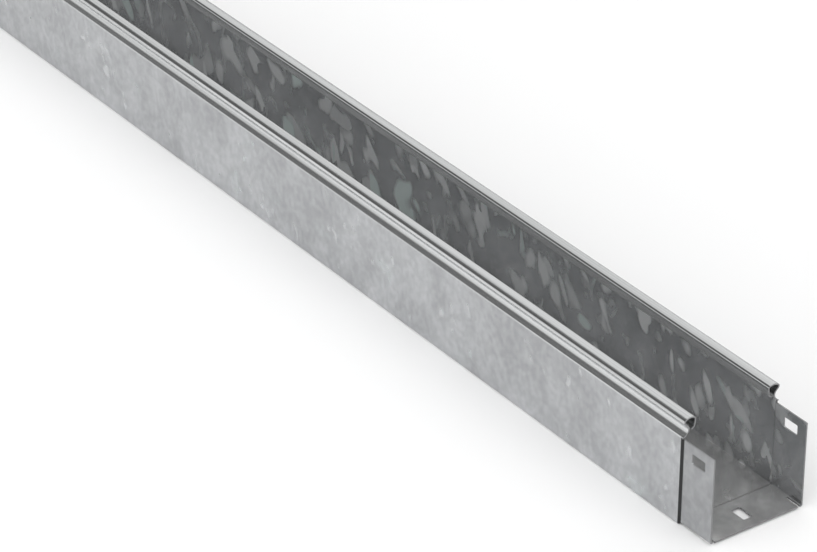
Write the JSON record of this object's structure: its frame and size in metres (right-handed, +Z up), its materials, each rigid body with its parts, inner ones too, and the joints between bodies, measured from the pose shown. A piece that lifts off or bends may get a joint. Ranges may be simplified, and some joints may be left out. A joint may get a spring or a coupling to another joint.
{
  "type": "cable tray",
  "caption": "Straight length of square, unperforated cable tray in galvanised steel sheet, with curled hollow rims, a stepped-in coupling tongue at one end and slots for coupling bolts.",
  "frame": {"origin": "on the underside of the tray, midway along its overall length and midway across its width", "axes": "+X along the tray towards the end with the tongue, +Y across it, +Z up out of its open top"},
  "size_m": [3, 0.06, 0.0608],
  "materials": {
    "galvanised_sheet": "hot-dip galvanised strip with a fine, faint spangle, dull grey"
  },
  "bodies": {
    "root": {"cable_tray": "galvanised_sheet"}
  },
  "joints": []
}
